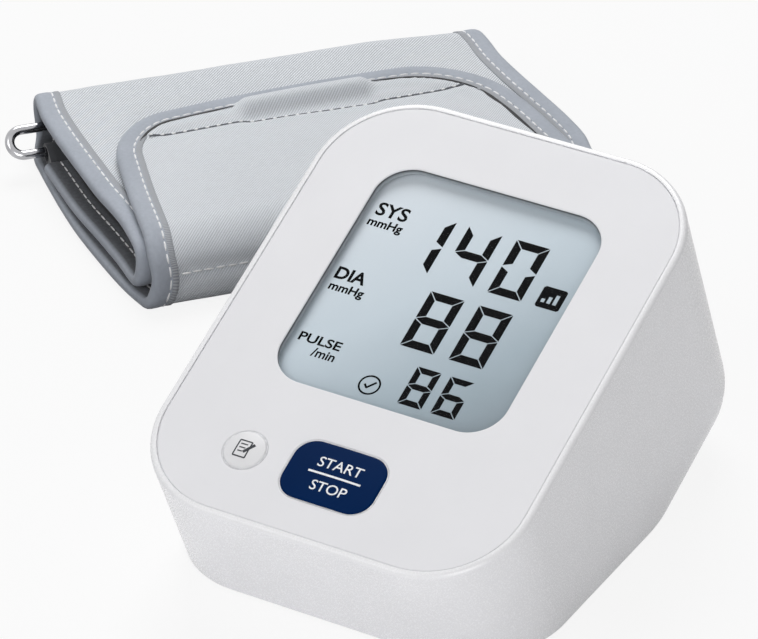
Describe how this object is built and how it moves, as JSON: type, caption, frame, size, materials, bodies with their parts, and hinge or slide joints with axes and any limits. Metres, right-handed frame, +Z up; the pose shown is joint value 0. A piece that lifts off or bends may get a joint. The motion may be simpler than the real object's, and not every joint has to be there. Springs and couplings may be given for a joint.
{
  "type": "home blood pressure monitor",
  "caption": "Home blood pressure monitor with a slanted display face, push buttons, an air pump inside, a battery bay in its base and a folded arm cuff with a steel ring.",
  "frame": {"origin": "middle of the monitor's footprint on the table, in the plane under its rubber feet", "axes": "+Z up, -Y to the front where the face is lowest, +X to the user's right; the cuff lies behind and to the left"},
  "size_m": [0.2422, 0.2761, 0.0844],
  "materials": {
    "case_white": "satin moulded",
    "face_grey": "fine matte",
    "clear_window": "clear",
    "lcd": "matte",
    "inner_plastic": "matte",
    "silicone": "matte",
    "board": "satin",
    "chip": "matte",
    "steel": "brushed",
    "cell": "satin",
    "button_navy": "satin",
    "cloth": "fine twill",
    "bladder": "matte",
    "binding": "woven tape",
    "ring_steel": "polished",
    "dark_cloth": "woven tape"
  },
  "bodies": {
    "monitor": {"rear_case": "case_white", "front_cover": "face_grey", "display_lens": "clear_window", "lcd_glass": "lcd", "lcd_holder": "inner_plastic", "lcd_connector_strips": "silicone", "main_board": "board", "board_chips": "chip", "board_screws": "steel", "tact_switches": "chip", "pressure_sensor": "chip", "air_jack": "inner_plastic", "air_manifold": "inner_plastic", "air_tubes": "silicone", "pump_head": "inner_plastic", "pump_motor": "steel", "pump_cradle": "silicone", "exhaust_valve": "steel", "dc_jack": "chip", "battery_cell_1": "cell", "battery_cell_2": "cell", "battery_cell_3": "cell", "battery_cell_4": "cell", "battery_springs": "steel", "battery_plates": "steel", "case_screws": "steel", "rubber_feet": "silicone"},
    "start_stop_button": {"start_stop_button": "button_navy", "start_switch_plunger": "inner_plastic"},
    "memory_button": {"memory_button": "case_white", "memory_switch_plunger": "inner_plastic"},
    "battery_cover": {"battery_cover": "case_white"},
    "cuff": {"cuff_sleeve": "cloth", "cuff_bladder": "bladder", "cuff_binding_left": "binding", "cuff_binding_right": "binding", "cuff_binding_end": "binding", "cuff_air_port": "inner_plastic", "cuff_ring_loop": "dark_cloth"},
    "cuff_ring": {"cuff_ring": "ring_steel"}
  },
  "joints": [
    {"name": "start_stop_press", "type": "slide", "parent": "monitor", "child": "start_stop_button", "axis": [0, 0.4099, -0.9121], "range_m": [0, 0.0008], "stiffness_N_per_m": 1000, "springref_m": -0.0004},
    {"name": "memory_press", "type": "slide", "parent": "monitor", "child": "memory_button", "axis": [0, 0.4099, -0.9121], "range_m": [0, 0.0008], "stiffness_N_per_m": 1000, "springref_m": -0.0004},
    {"name": "battery_cover_hinge", "type": "hinge", "parent": "monitor", "child": "battery_cover", "pos_m": [0, -0.0273, 0.0008], "axis": [-1, 0, 0], "range_deg": [0, 60]},
    {"name": "cuff_lift", "type": "slide", "parent": "monitor", "child": "cuff", "axis": [0, 0, 1], "range_m": [0, 0.15]},
    {"name": "cuff_ring_swing", "type": "hinge", "parent": "cuff", "child": "cuff_ring", "pos_m": [-0.13432, 0.14697, 0.0066], "axis": [0.6561, 0.7547, 0], "range_deg": [-40, 0]}
  ]
}
